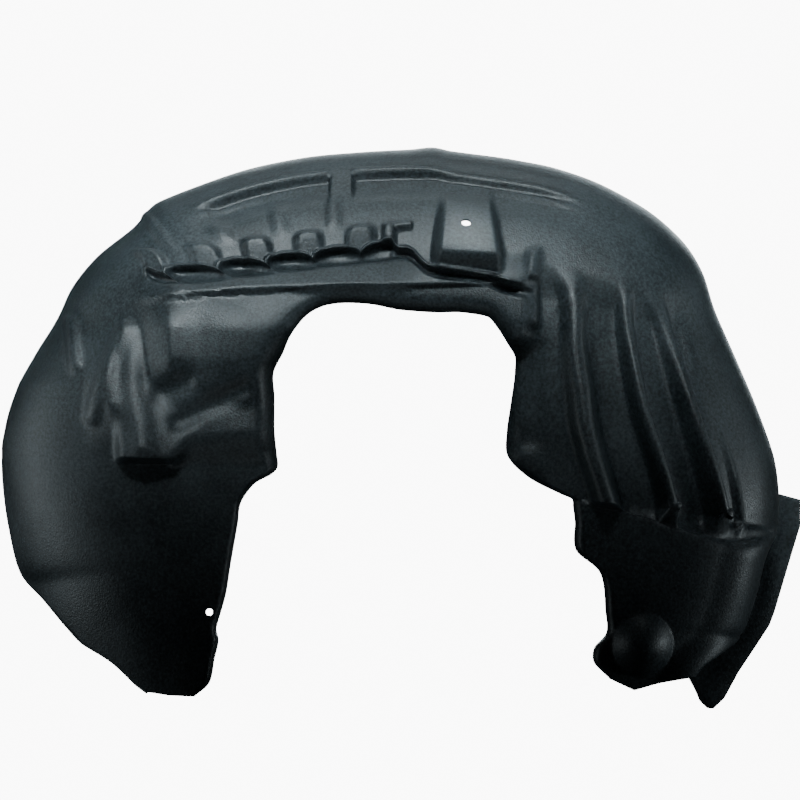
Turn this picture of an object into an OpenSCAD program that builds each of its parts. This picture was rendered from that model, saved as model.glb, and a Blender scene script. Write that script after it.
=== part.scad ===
// Wheel arch liner: one moulded plastic shell that hangs over a car's wheel.
// It is seen and drawn from the car's side. X runs along the car, Y runs outwards through
// the wheel, Z is up. The shell is lofted on spokes that run from the edge of the opening,
// over the inner wall and the rounded shoulder, to the barrel and its outboard lip.

/* [Arch] */
// Radius of the shoulder about the wheel axis
arch_r = 390; // [370:1:410]
// Depth from the inner wall to the outboard lip
arch_depth = 235; // [200:1:260]
// Depth over which the inner wall rounds into the barrel
shoulder_depth = 140; // [110:1:160]
// Radius at which the inner wall starts to round back
flat_r = 205; // [190:1:220]
// Thickness of the moulded wall
wall = 2.5; // [2:0.1:3.5]
// Width of the lip along the outboard edge
lip_w = 10; // [6:1:14]
// How far the barrel draws in towards the outboard edge
barrel_draft = 8; // [4:1:12]

/* [Opening] */
// Width of the opening between its straight sides
opening_w = 229; // [220:1:238]
// Height of the opening's top edge above the wheel axis
opening_top = 212; // [206:1:218]
// How far the opening's edge is turned back
edge_turn = 12; // [6:1:16]

/* [Feet] */
// Depth of the left foot below the wheel axis
foot_drop = 174; // [165:1:185]
// Depth of the return along the left foot
foot_return = 45; // [25:1:60]

/* [Ledge and bosses] */
// Number of bosses in the row
boss_count = 5; // [3:1:5]
// Distance between bosses
boss_pitch = 50.4; // [48:0.2:52]
// Width of a boss
boss_w = 34; // [28:1:38]
// Height of a boss
boss_h = 28; // [22:1:32]
// How far a boss stands out
boss_out = 9; // [5:1:12]
// How far the ledge's edge stands out
ledge_out = 3.5; // [2:0.5:5]
// Depth of the niches below the ledge
niche_in = 7; // [4:0.5:9]
// Height of the arched niche between two bosses
niche_h = 10; // [6:1:12]
// How far the sloping apron below the ledge stands out
apron_out = 14; // [8:1:16]

/* [Crown panels] */
// Distance of the panels' ridge from the shoulder
crown_w = 20; // [16:1:24]
// Depth of the two sunk panels
panel_depth = 8; // [4:0.5:10]
// Height of a sunk panel
panel_h = 34; // [26:1:38]
// Width of the bridge between the panels
bridge_w = 20; // [14:1:28]
// How far the bead along the ridge stands out
bead_out = 3; // [1.5:0.5:4]

/* [Clip box] */
// Width of the box
box_w = 74; // [66:1:80]
// Height of the box's sloping face
box_h = 68; // [62:1:72]
// How far the box stands out at its lower edge
box_out = 26; // [18:1:30]
// Diameter of the clip hole in the box
clip_d = 9.5; // [7:0.5:12]
// Diameter of the screw hole in the left foot
screw_d = 7; // [5:0.5:8]

/* [Flutes] */
// Depth of the grooves between the ribs where they are deepest
groove_depth = 20; // [12:1:24]
// Width of the first rib, next to the opening
rib_w = 30; // [26:1:32]
// Width of the other ribs
small_rib_w = 22; // [16:1:24]
// How far the left-hand fan stands out where it ends
fold_out = 24; // [14:1:26]

/* [Right foot] */
// Diameter of the dome
dome_d = 62; // [50:1:66]
// How far the dome stands out
dome_out = 20; // [14:1:26]

/* [Hidden] */

// Half the opening's width and the height at which its corners end
ow = opening_w / 2;
ot = opening_top;
foot_z = -foot_drop;

// The row of bosses runs up from left to right
boss_x = -231;
boss_z = 258;
boss_rise = 5.8;
function boss_row(w) = [boss_x + w * boss_pitch, boss_z + w * boss_rise];

// Point on the shoulder at a bearing, with its distance beyond the arch radius
function shoulder(bearing, extra) =
    (arch_r + extra) * [cos(bearing), sin(bearing)];

// Each spoke: point on the opening's edge, point on the middle line, point on the shoulder,
// and how many strips lie between this spoke and the next (0 where bosses set them)
spokes = [
    [[-ow - 77.5, ot - 383], [-ow - 102.5, foot_z + 4], shoulder(214.9, -98.5), 2],
    [[-ow - 62.5, ot - 369], [-ow - 104.5, foot_z + 16], shoulder(212, -93), 2],
    [[-ow - 57.5, ot - 346], [-ow - 113.5, foot_z + 41], shoulder(206.3, -83), 2],
    [[-ow - 53.5, -116], [-ow - 126.5, -108], shoulder(201.3, -64), 1],
    [[-ow - 55.5, -103], [-ow - 133.5, -89], shoulder(197.4, -53.5), 2],
    [[-ow - 46.5, -71], [-ow - 139.5, -63], shoulder(192.4, -38), 2],
    [[-ow - 41.5, -40], [-ow - 143.5, -34], shoulder(187.6, -18.5), 2],
    [[-ow - 34.5, 0], [-ow - 143.5, 2], shoulder(180.1, -10), 2],
    [[-ow - 31.5, 20], [-ow - 142.5, 29], shoulder(175, -4), 1],
    [[-ow - 18.5, 38], [-ow - 140.5, 47], shoulder(172, -0.5), 1],
    [[-ow - 2.5, 47], [-ow - 139.5, 58], shoulder(170, 1.5), 1],
    [[-ow + 4.5, 55], [-ow - 138.5, 66], shoulder(168.5, 2.5), 2],
    [[-ow + 3.5, 69], [-ow - 139.5, 85], shoulder(165, 2), 2],
    [[-ow + 1.5, 91], [-ow - 140.5, 112], shoulder(160.5, 0), 3],
    [[-ow + 1.5, 124], [-ow - 143.5, 151], shoulder(155, -1.5), 3],
    [[-ow + 0.5, ot - 65], [-ow - 146.5, 191], shoulder(148.5, -3), 3],
    [[-ow + 9.5, ot - 46], [-ow - 146.5, 226], shoulder(143.5, 2), 2],
    [[-ow + 14.5, ot - 34], boss_row(-0.5), shoulder(137.8, 2), 4],
    [[-ow + 20.5, ot - 24], boss_row(0), shoulder(131.2, -2.5), 0],
    [[-ow + 33.5, ot - 9], boss_row(1), shoulder(126, 2), 0],
    [[-ow + 50.5, ot], boss_row(2), shoulder(113.5, -11.5), 0],
    [[-ow + 69.5, ot + 3], boss_row(3), shoulder(103.5, -18.5), 0],
    [[-ow + 95.5, ot + 2], boss_row(4), shoulder(94.5, -22), 0],
    [[-ow + 122.5, ot - 3], boss_row(5), shoulder(87, -20), 2],
    [[-ow + 144.5, ot - 5], [40, 277], shoulder(83.5, -16), 2],
    [[-ow + 161.5, ot - 6], [55, 274], shoulder(80.5, -17), 2],
    [[ow - 45.5, ot - 6], [90, 272], shoulder(74, -13), 2],
    [[ow - 24.5, ot - 9], [110, 270], shoulder(71, -10), 2],
    [[ow - 16.5, ot - 12], [138, 265], shoulder(65, -2.5), 2],
    [[ow - 7.5, ot - 23], [172, 260], shoulder(58, 5), 3],
    [[ow + 1.5, ot - 37], [212, 251], shoulder(50, 11.5), 3],
    [[ow + 8.5, ot - 49], [231, 236], shoulder(43.5, 12.5), 2],
    [[ow + 8.5, ot - 62], [233, 212], shoulder(38.5, 7), 2],
    [[ow + 7.5, ot - 74], [235, 189], shoulder(33, -5), 3],
    [[ow + 3.5, 111], [242, 145], shoulder(25.5, -10), 3],
    [[ow + 0.5, 89], [250, 105], shoulder(17.5, -8.5), 3],
    [[ow + 1.5, 65], [262, 67], shoulder(9.5, -3), 3],
    [[ow + 22.5, 44], [271, 35], shoulder(3.4, -2.5), 2],
    [[ow + 53.5, 28], [276, 14], shoulder(-0.8, -5), 1],
    [[ow + 64.5, 23], [277, 5], shoulder(-2.2, -6), 1],
    [[ow + 65.5, 16], [278, -4], shoulder(-3.8, -11), 1],
    [[ow + 67.5, 0], [276, -20], shoulder(-6.5, -16), 2],
    [[ow + 68.5, -27], [271, -45], shoulder(-10.5, -18), 2],
    [[ow + 92.5, -50], [262, -72], shoulder(-13.8, -20), 2],
    [[ow + 97.5, -87], [252, -96], shoulder(-17.1, -22), 2],
    [[ow + 98.5, -108], [247, -112], shoulder(-19.5, -29.5), 2],
    [[ow + 86.5, -123], [246, -124], shoulder(-21.9, -40), 2],
    [[ow + 86.5, -138], [247, -144], shoulder(-24.5, -50), 2],
    [[ow + 102.5, -154], [242, -166], shoulder(-26.8, -53.5), 1]
];
first_boss = 18;
box_spoke = 24;
last = len(spokes) - 1;

// Where the strips between two bosses are cut, as shares of the pitch
boss_half = boss_w / 2 / boss_pitch;
boss_edge = 4 / boss_pitch;
boss_cuts = [0, boss_half - boss_edge, boss_half, 0.5, 1 - boss_half, 1 - boss_half + boss_edge];

stations = [
    for (k = [0:last])
        each k == last ? [last]
        : spokes[k][3] == 0 ? [for (f = boss_cuts) k + f]
        : [for (j = [0:spokes[k][3] - 1]) k + j / spokes[k][3]]
];

// A smooth curve through points, with no overshoot where they lie unevenly
function tangent(a, b, c) = (c - a) * min(norm(b - a), norm(c - b)) / max(norm(c - a), 0.001);
function curve(pts, u) =
    let (k = min(floor(u), len(pts) - 2), t = u - k, a = pts[k], b = pts[k + 1])
    let (ta = k == 0 ? b - a : tangent(pts[k - 1], a, b))
    let (tb = k + 2 >= len(pts) ? b - a : tangent(a, b, pts[k + 2]))
    a * (2 * t * t * t - 3 * t * t + 1) + ta * (t * t * t - 2 * t * t + t)
    + b * (3 * t * t - 2 * t * t * t) + tb * (t * t * t - t * t);

edge_pts = [for (s = spokes) s[0]];
middle_pts = [for (s = spokes) s[1]];
shoulder_pts = [for (s = spokes) s[2]];

// Blends and bumps used by the relief
function clamp(x, a, b) = max(a, min(b, x));
function ease(a, b, x) = let (t = clamp((x - a) / (b - a), 0, 1)) t * t * (3 - 2 * t);
function pad(d, half, soft) = 1 - ease(half - soft, half, abs(d));
function ridge(d, half) = let (t = clamp(abs(d) / half, 0, 1)) (1 - t * t) * (1 - t * t);
// Distance from p to the line a-b, with its place along the line
function beside(p, a, b) =
    let (t = clamp((p - a) * (b - a) / ((b - a) * (b - a)), 0, 1)) norm(p - a - t * (b - a));

// Ledge with arched niches between the bosses, the bosses, and the ribs above the niches:
// w counts pitches from the first boss, and t is the height above the row's middle line
function boss_at(u) = u < first_boss ? (u - first_boss) * 0.5 : u - first_boss;
function in_row(u) = ease(-0.5, -0.2, boss_at(u)) * (1 - ease(28, 29.5, u));
function row_end(w) = ease(boss_count - 0.5, boss_count - 0.3, w);
function arch(w) = pow(abs(sin(180 * w)), 0.6) * ease(-0.5, -0.2, w) * (1 - row_end(w));
function ledge_foot(u) = -18 - 9 * ease(22.6, 24, u) - 6 * ease(24, 28, u);
function ledge(u, t) =
    let (w = boss_at(u), foot = ledge_foot(u), line = foot + niche_h * arch(w))
    let (open = max(0.1 + 0.9 * arch(w), row_end(w)))
    let (edge = ledge_out * ridge(t - line - 2, 5))
    let (niche = niche_in * open * ease(line + 1, line - 1.5, t) * ease(foot - 10, foot - 4, t))
    in_row(u) * (edge - niche);
// A boss has rounded top corners and slopes back down to the ledge
function bosses(u, t) =
    let (w = boss_at(u), k = round(w), d = (w - k) * boss_pitch)
    let (up = max(t + boss_w / 2 - boss_h / 2, 0), from_middle = pow(pow(d, 4) + pow(up, 4), 0.25))
    k < 0 || k >= boss_count ? 0
    : boss_out * (1 - ease(boss_w / 2 - 5, boss_w / 2 + 1, from_middle)) * clamp((t + 20) / boss_h, 0, 1);
// The hooked rib that closes the row
function hook(u, t) =
    let (d = (boss_at(u) - boss_count + 0.5) * boss_pitch)
    0.6 * boss_out * max(pad(d, 7, 4) * pad(t + 1, 12, 4), pad(d - 16, 14, 4) * pad(t - 5, 5, 4));
function row_ribs(u, t) =
    let (w = boss_at(u), k = round(w - 0.5), d = (w - 0.5 - k) * boss_pitch)
    k < 0 || k >= boss_count - 1 ? 0 : 2.5 * ridge(d, 11) * pad(t - 28, 24, 14);
// The apron between the ledge and the opening slopes out downwards and turns back under
function apron(p) =
    let (x = p[0], top = lookup(x, [[-250, 243], [-150, 253], [-60, 258], [150, 262]]))
    let (slope = clamp((top - p[1]) / 25, 0, 1) * ease(top - 35, top - 26, p[1]))
    apron_out * slope * ease(-258, -208, x) * (1 - ease(125, 150, x));

// Sunk panels under a double bead, either side of a bridge. The bead's distance from the
// shoulder grows to the right of the bridge.
bridge_x = -48;
function bead_at(u) = crown_w + lookup(u, [[22, 0], [23, 1], [24, 4], [26, 6], [28, 5], [30, 3]]);
function panels(u, c, x) =
    let (from_bridge = abs(x - bridge_x) - bridge_w / 2)
    let (wide = ease(0, 3, from_bridge) * ease(-200, -170, x) * (1 - ease(140, 215, x)))
    let (d = c - bead_at(u), sunk = ease(0, 4.5, d) * (1 - ease(12, panel_h, d)))
    wide * (bead_out * (ridge(d, 5) + ridge(d - 8, 4)) - panel_depth * sunk);

// The box with the clip hole: a sloping face over a dark underside
box_x = 76;
box_foot = -12;
function clip_box(s, x) =
    let (up = clamp(1 - (s - box_foot) / box_h, 0, 1), down = ease(box_foot - 27, box_foot, s))
    box_out * (s > box_foot ? up : down) * pad(x - box_x, box_w / 2, 7);
function block(p) = 9 * pad(p[0] - 140, 9, 5) * pad(p[1] - 252, 17, 6);

// Ribs of the right-hand side, by spoke: how far each lies from the middle line
rib_at = [
    [[28, 10], [29, -2], [30, -41], [31, -60], [33, -57], [34, -56], [35, -59], [36, -63], [48, -66]],
    [[28, 0], [48, 0]],
    [[31, 24], [32, 31], [33, 38], [34, 44], [35, 48], [38, 50], [48, 50]],
    [[31, 60], [34, 76], [36, 75], [38, 72], [48, 72]]
];
rib_half = [rib_w / 2, small_rib_w / 2, small_rib_w * 0.4, small_rib_w * 0.2];
function rib(k, u, s) = pad(s - lookup(u, rib_at[k]), rib_half[k], rib_half[k] * (k == 0 ? 0.85 : 0.55));
function step_z(x) = 22 - 0.176 * (x - 183);
function groove_top(x) = 266 - 0.26 * (x - 150);
function flutes(u, s, c, p) =
    let (x = p[0], z = p[1], below = groove_top(x) - z, down = ease(0, 230, below))
    let (teeth = ease(step_z(x) - 3, step_z(x) + 3, z), start = (1 - ease(142, 150, x)) * ease(186, 200, z))
    let (side = 1 - ease(11, 20, c))
    let (second = u > 30.5 ? rib(1, u, s) : 0)
    let (ribs = max(rib(0, u, s), second, rib(2, u, s), 0.5 * rib(3, u, s), start, side))
    let (depth = groove_depth * (0.45 + 0.55 * down) * (1 - 0.5 * ease(50, 62, s)))
    teeth * (0.4 * groove_depth * down * (1 - side) - depth * (1 - ribs) * ease(0, 7, below))
        * ease(120, 150, x) - 0.6 * groove_depth * (1 - teeth) * (1 - side);

// Folded faces of the left-hand fan: how far they stand out, as shares of fold_out, at
// places along the car and heights above the axle. They end over the plain left leg.
fan_x = [-300, -270, -240, -212, -185, -150, -116];
fan_rows = [
    [66, [0, 0.08, 1, 0.75, 0.6, 0.75, 0.7]],
    [92, [0.05, 0.35, 0.65, 0.4, 0.3, 0.6, 0.6]],
    [114, [0.12, 0.62, 0.3, 0.15, 0.35, 0.4, 0.5]],
    [136, [0.15, 0.5, 0.1, 0.45, 0.55, 0.66, 0.55]],
    [160, [0.05, 0.3, 0.1, 0.6, 0.5, 0.66, 0.55]],
    [190, [0, 0.05, 0.12, 0.6, 0.35, 0.58, 0.45]],
    [222, [0, 0, 0, 0, 0, 0, 0]]
];
function fan_row(x, heights) = lookup(x, [for (k = [0:len(fan_x) - 1]) [fan_x[k], heights[k]]]);
function fan(x, z) = lookup(z, [for (r = fan_rows) [r[0], fan_row(x, r[1])]]);
fan_ridges = [[[-260, 192], [-291, 104], 13, 4], [[-256, 186], [-238, 72], 16, 4],
    [[-314, 198], [-308, 154], 11, 6], [[-222, 128], [-200, 137], 15, -6],
    [[-206, 98], [-143, 133], 13, -5]];
function fan_ridge(p, r) = r[3] * ridge(beside(p, r[0], r[1]), r[2]);
function folds(p) =
    let (x = p[0], z = p[1])
    let (end = x < -215 ? ease(57, 64, z) : ease(55, 55 + clamp(x + 223, 9, 20), z))
    let (creases = [for (r = fan_ridges) fan_ridge(p, r)])
    x > -60 ? 0 : end * (fold_out * fan(x, z) + creases * [1, 1, 1, 1, 1]);

// The dome on the right foot
dome_at = [250, -121];
function dome(p) =
    let (t = clamp(norm(p - dome_at) / (dome_d / 2), 0, 1)) dome_out * pow(1 - t * t, 0.9);

function relief(u, s, t, c, p) =
    ledge(u, t) + bosses(u, t) + hook(u, t) + row_ribs(u, t) + apron(p)
    + (u > 17 && u < 30 ? panels(u, c, p[0]) : 0)
    + (u > 22 && u < 29 ? clip_box(s, p[0]) : 0)
    + (u > 26 && u < 30 ? block(p) : 0)
    + (p[0] > 100 ? flutes(u, s, c, p) + dome(p) : folds(p));

// Depth of the plain wall: flat by the opening, then rounding back to the shoulder, with a
// flatter wall and a tighter corner on the right foot
trim_extra = -25;
function shoulder_r(o) = max(norm(o), arch_r + trim_extra);
function plain_y(u, p, o) =
    let (f = clamp((norm(p) - flat_r) / (shoulder_r(o) - flat_r), 0, 1), n = 2 + 2 * ease(38, 41, u))
    shoulder_depth * (1 - pow(max(0, 1 - pow(f, n)), 1 / n));

// Lines across a spoke from the opening's edge to the shoulder, for a middle line at a and a
// shoulder at a + b: along the row of bosses, along the ribs, and evenly elsewhere
edge_lines = [0, 5, 11, 18];
function spread(from, to, n) = [for (k = [1:n]) from + (to - from) * k / (n + 1)];
function boss_foot(u) = -1 + (box_foot + 1) * ease(22.6, 24, u);
function row_lines(u, a, b, g, h) =
    let (k = h * min(1, b / 66), foot = ledge_foot(u), line = foot + niche_h * arch(boss_at(u)))
    let (edge = edge_lines * max(1, a / 66), start = max(edge[3] + 4, a - 49 * g), bead = bead_at(u))
    concat(edge, [start, (start + a + g * (foot - 10)) / 2],
        [for (t = [foot - 10, foot - 4, line - 1.5, line + 2, line + 6, boss_foot(u)]) a + g * t],
        [for (t = [9, 15, 27]) a + k * t], spread(a + 27 * k, a + b - (8 + bead) * k / h, 1),
        [for (d = [bead + 8, bead + 4.5, bead, bead - 5, 5, 0]) a + b - d * k / h]);
function rib_lines(u, a, b) =
    let (r = [for (t = rib_at) a + lookup(u, t)])
    concat(edge_lines, spread(edge_lines[3], r[0] - rib_half[0], 1),
        [for (d = [-1, -0.45, 0.45, 1]) r[0] + d * rib_half[0]],
        [for (d = [-1, -0.45, 0.45, 1]) r[1] + d * rib_half[1]],
        [for (d = [-1, -0.45, 0.45, 1]) r[2] + d * rib_half[2]],
        [r[3] - rib_half[3], r[3] + rib_half[3]], [for (d = [20, 11, 0]) a + b - d]);
function even_lines(a, b) =
    concat(edge_lines, spread(edge_lines[3], a + b - 20, 15), [for (d = [20, 11, 0]) a + b - d]);
function row_share(u) = ease(14.5, 17, u) * (1 - ease(28, 29.4, u));
function lines(u, i, m, o) =
    let (row = row_share(u), ribs = ease(29.8, 31, u) * (1 - ease(38.6, 39.6, u)))
    let (a = norm(m - i), b = norm(o - m))
    row > 0 ? even_lines(a, b) * (1 - row)
        + row_lines(u, a, b, min(2.4, a / (m[1] - i[1])), min(1.3, b / (o[1] - m[1]))) * row
    : ribs > 0 ? even_lines(a, b) * (1 - ribs) + rib_lines(u, a, b) * ribs
    : even_lines(a, b);

// Place along a spoke: straight, but upright where it meets the row
function on_spoke(u, i, m, o, d) =
    let (a = norm(m - i), t = d / a, bend = t * t * (1 - t) * ease(14, 17.6, u) * (1 - ease(23, 27, u)))
    d < a ? i + (m - i) * t + [(m[0] - i[0]) * bend, 0] : m + (o - m) * (d - a) / norm(o - m);

// The strip behind the right foot and its tongue, by spoke
strip_edge = [[36.9, 394, 24], [37, 411, 21], [38.5, 411, -5], [40, 404, -28],
    [43, 385, -92], [44, 380, -105], [45, 365, -128], [46, 349, -152],
    [46.6, 335, -178], [47.1, 321, -191], [47.6, 310, -181], [48, 306, -170]];
function column_value(table, u, n) = lookup(u, [for (r = table) [r[0], r[n]]]);
function lip_point(u, o) =
    u < strip_edge[0][0] ? o * (1 + (lip_w - barrel_draft) / norm(o))
    : [column_value(strip_edge, u, 1), column_value(strip_edge, u, 2)];
// How wide the turned-back edge is, by spoke, and how deep as a multiple of edge_turn
edge_back = [[0, 5, 1], [10, 7, 1], [12, 20, 1.8], [16, 20, 1.8], [18, 16, 1], [28, 16, 1],
    [30, 20, 1.5], [31.5, 44, 3], [35.5, 44, 3], [37.5, 12, 1], [48, 5, 1]];

function front_column(u) =
    let (i = curve(edge_pts, u), m = curve(middle_pts, u), o = curve(shoulder_pts, u))
    let (a = norm(m - i), b = norm(o - m))
    let (end_depth = lookup(u, [[0, foot_return], [2, 20 + foot_return], [4, 60 + foot_return],
        [6.5, arch_depth], [last, arch_depth]]))
    let (w = column_value(edge_back, u, 1), turn = edge_turn * column_value(edge_back, u, 2))
    let (drawn = o * (1 - barrel_draft / norm(o)), yo = plain_y(u, o, o))
    concat(
        [for (d = lines(u, i, m, o))
            let (p = on_spoke(u, i, m, o, d))
            [p[0], plain_y(u, p, o), p[1], relief(u, d - a, p[1] - m[1], a + b - d, p),
                turn * pow(1 - clamp(d / w, 0, 1), 2)]],
        [for (f = [0.45, 1])
            let (q = o + (drawn - o) * f)
            [q[0], yo + (end_depth - yo) * f, q[1], 0, 0]],
        [let (q = lip_point(u, o)) [q[0], end_depth, q[1], 0, 0]]);

plain = [for (u = stations) front_column(u)];
nu = len(plain);
nv = len(plain[0]);

// Direction square to a surface of points, towards the car's side
function xyz(v) = [v[0], v[1], v[2]];
function square_to(grid, i, j) =
    let (du = xyz(grid[min(i + 1, nu - 1)][j]) - xyz(grid[max(i - 1, 0)][j]))
    let (dv = xyz(grid[i][min(j + 1, nv - 1)]) - xyz(grid[i][max(j - 1, 0)]))
    let (n = cross(du, dv)) n / max(norm(n), 0.000001);
front = [for (i = [0:nu - 1]) [for (j = [0:nv - 1])
    xyz(plain[i][j]) + square_to(plain, i, j) * plain[i][j][3] + [0, plain[i][j][4], 0]]];
back = [for (i = [0:nu - 1]) [for (j = [0:nv - 1]) front[i][j] - wall * square_to(front, i, j)]];

// The origin: the middle of the shell's box, at its lowest point
shell_pts = concat([for (c = front) each c], [for (c = back) each c]);
low = [for (k = [0:2]) min([for (p = shell_pts) p[k]])];
high = [for (k = [0:2]) max([for (p = shell_pts) p[k]])];
origin = [(low[0] + high[0]) / 2, (low[1] + high[1]) / 2, low[2]];

function at(i, j) = i * nv + j;
half = nu * nv;
shell_faces = concat(
    [for (i = [0:nu - 2]) for (j = [0:nv - 2]) each
        [[at(i, j), at(i, j + 1), at(i + 1, j)], [at(i + 1, j), at(i, j + 1), at(i + 1, j + 1)]]],
    [for (i = [0:nu - 2]) for (j = [0:nv - 2]) each
        [[half + at(i, j), half + at(i + 1, j), half + at(i, j + 1)],
        [half + at(i + 1, j), half + at(i + 1, j + 1), half + at(i, j + 1)]]],
    [for (i = [0:nu - 2]) each
        [[at(i, 0), at(i + 1, 0), half + at(i, 0)],
        [at(i + 1, 0), half + at(i + 1, 0), half + at(i, 0)],
        [at(i, nv - 1), half + at(i, nv - 1), at(i + 1, nv - 1)],
        [at(i + 1, nv - 1), half + at(i, nv - 1), half + at(i + 1, nv - 1)]]],
    [for (j = [0:nv - 2]) each
        [[at(0, j), half + at(0, j), at(0, j + 1)],
        [at(0, j + 1), half + at(0, j), half + at(0, j + 1)],
        [at(nu - 1, j), at(nu - 1, j + 1), half + at(nu - 1, j)],
        [at(nu - 1, j + 1), half + at(nu - 1, j + 1), half + at(nu - 1, j)]]]);

module shell() {
    polyhedron(points = [for (p = shell_pts) p - origin], faces = shell_faces, convexity = 10);
}

// A round hole square through the wall, at a point of the grid
function column_at(u) = len([for (s = stations) if (s < u - 0.001) 1]);
clip_at = [column_at(box_spoke + 1.5), 13];
screw_at = [column_at(4.5), 2];
function hole_centre(g) =
    front[g[0]][g[1]] - wall / 2 * square_to(front, g[0], g[1]) - origin;
module hole(g, d) {
    n = square_to(front, g[0], g[1]);
    translate(hole_centre(g)) rotate([0, acos(n[2]), atan2(n[1], n[0])])
        cylinder(d = d, h = wall * 5, center = true, $fn = 48);
}

module arch_liner() {
    color([0.10, 0.12, 0.13]) difference() {
        shell();
        hole(clip_at, clip_d);
        hole(screw_at, screw_d);
    }
}

arch_liner();
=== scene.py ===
# %% [markdown]
# A wheel arch liner is one thin moulded shell. It hangs over the wheel and keeps mud and
# stones off the car's body. The fixed model gives its true size and place, so everything
# here starts from it and stays inside it.

# %% Load the fixed model
import math

import bmesh
import bpy
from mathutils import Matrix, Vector


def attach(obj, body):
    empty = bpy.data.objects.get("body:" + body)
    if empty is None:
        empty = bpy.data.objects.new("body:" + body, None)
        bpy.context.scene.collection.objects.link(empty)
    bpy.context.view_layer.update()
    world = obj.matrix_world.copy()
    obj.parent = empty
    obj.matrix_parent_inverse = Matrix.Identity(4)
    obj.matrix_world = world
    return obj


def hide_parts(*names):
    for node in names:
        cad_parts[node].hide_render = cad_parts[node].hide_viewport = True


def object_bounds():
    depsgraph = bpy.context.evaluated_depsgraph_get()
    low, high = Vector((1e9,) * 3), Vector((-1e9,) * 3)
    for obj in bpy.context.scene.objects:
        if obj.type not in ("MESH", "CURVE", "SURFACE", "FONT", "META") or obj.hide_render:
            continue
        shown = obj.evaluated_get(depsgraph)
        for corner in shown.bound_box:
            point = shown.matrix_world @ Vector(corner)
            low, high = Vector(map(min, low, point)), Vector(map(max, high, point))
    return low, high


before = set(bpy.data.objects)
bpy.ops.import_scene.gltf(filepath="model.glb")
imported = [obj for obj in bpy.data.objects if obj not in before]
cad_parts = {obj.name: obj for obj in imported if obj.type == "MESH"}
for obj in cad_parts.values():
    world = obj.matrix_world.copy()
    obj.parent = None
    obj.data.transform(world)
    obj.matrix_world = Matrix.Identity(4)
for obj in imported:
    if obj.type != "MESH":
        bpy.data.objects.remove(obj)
model_box = [list(corner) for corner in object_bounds()]
print("fixed model:", [round(1000 * (b - a)) for a, b in zip(*model_box)], "mm")

# %% [markdown]
# The camera stands level with the axle, on the car's side of the liner, and a long way
# back, so the arch is seen flat on with very little perspective. A long lens brings it
# close again.

# %% Camera
CAMERA_DISTANCE = 12.0
VIEW_WIDTH = 0.7925
AIM = Vector((-0.0016, 0.0, 0.3090))
SENSOR = 36.0


def aim(thing, at):
    """Turns a lamp or camera so that it looks at a point."""
    away = Vector(at) - thing.location
    thing.rotation_euler = away.to_track_quat("-Z", "Y").to_euler()


camera_data = bpy.data.cameras.new("camera")
camera_data.sensor_width = SENSOR
camera_data.lens = SENSOR * CAMERA_DISTANCE / VIEW_WIDTH
camera = bpy.data.objects.new("camera", camera_data)
bpy.context.collection.objects.link(camera)
camera.location = AIM + Vector((0.0, -CAMERA_DISTANCE, 0.0))
aim(camera, AIM)
bpy.context.scene.camera = camera
print("camera lens:", round(camera_data.lens), "mm")

# %% [markdown]
# The shell is best thought of as spokes. Each spoke starts on the edge of the big opening,
# crosses the inner wall through a point on a middle line, and ends on the shoulder, where
# the wall turns outwards to cover the tyre. All lengths here are millimetres about the
# axle, as on a maker's drawing, and one function at the end puts them into the frame.

# %% Driving sizes
AXLE = Vector((-0.011655, -0.10828, 0.1884))
ARCH_R, ARCH_DEPTH, SHOULDER_DEPTH, FLAT_R = 390.0, 235.0, 140.0, 205.0
WALL, LIP_W, DRAFT, EDGE_TURN, FOOT_RETURN = 2.5, 10.0, 8.0, 12.0, 45.0
OPEN_X, OPEN_TOP, FOOT_Z = 114.5, 212.0, -174.0
BOSSES, PITCH, BOSS_W, BOSS_H, BOSS_OUT = 5, 50.4, 34.0, 28.0, 9.0
BOSS_X, BOSS_Z, BOSS_RISE = -231.0, 258.0, 5.8
LEDGE_OUT, NICHE_IN, NICHE_H, APRON_OUT = 5.0, 7.0, 8.0, 14.0
CROWN_W, PANEL_DEPTH, PANEL_H, BRIDGE_W, BEAD_OUT = 20.0, 8.0, 34.0, 20.0, 3.0
BOX_X, BOX_W, BOX_H, BOX_OUT, BOX_FOOT, CLIP_D, SCREW_D = 76.0, 74.0, 68.0, 26.0, -12.0, 9.5, 7.0
GROOVE_DEPTH, RIB_W, SMALL_RIB_W, FOLD_OUT = 20.0, 30.0, 22.0, 24.0
DOME_D, DOME_OUT = 62.0, 20.0


def on_drawing(x, y, z):
    """A point of the maker's drawing, put into the shared frame in metres."""
    return AXLE + Vector((x, y, z)) / 1000.0


print("arch radius:", ARCH_R, "mm, axle at", [round(1000 * v) for v in AXLE])

# %% [markdown]
# A table holds one row for each spoke, going clockwise from the left foot: its point on the
# opening, its point on the middle line, and the bearing of its end on the shoulder with the
# distance beyond the arch radius. A soft curve is drawn through each of the three lists, so
# few rows give a smooth outline, and close rows give a tight corner.

# %% Spokes
def boss_row(w):
    """Middle of the row, w pitches from the first boss."""
    return (BOSS_X + w * PITCH, BOSS_Z + w * BOSS_RISE)


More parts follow.
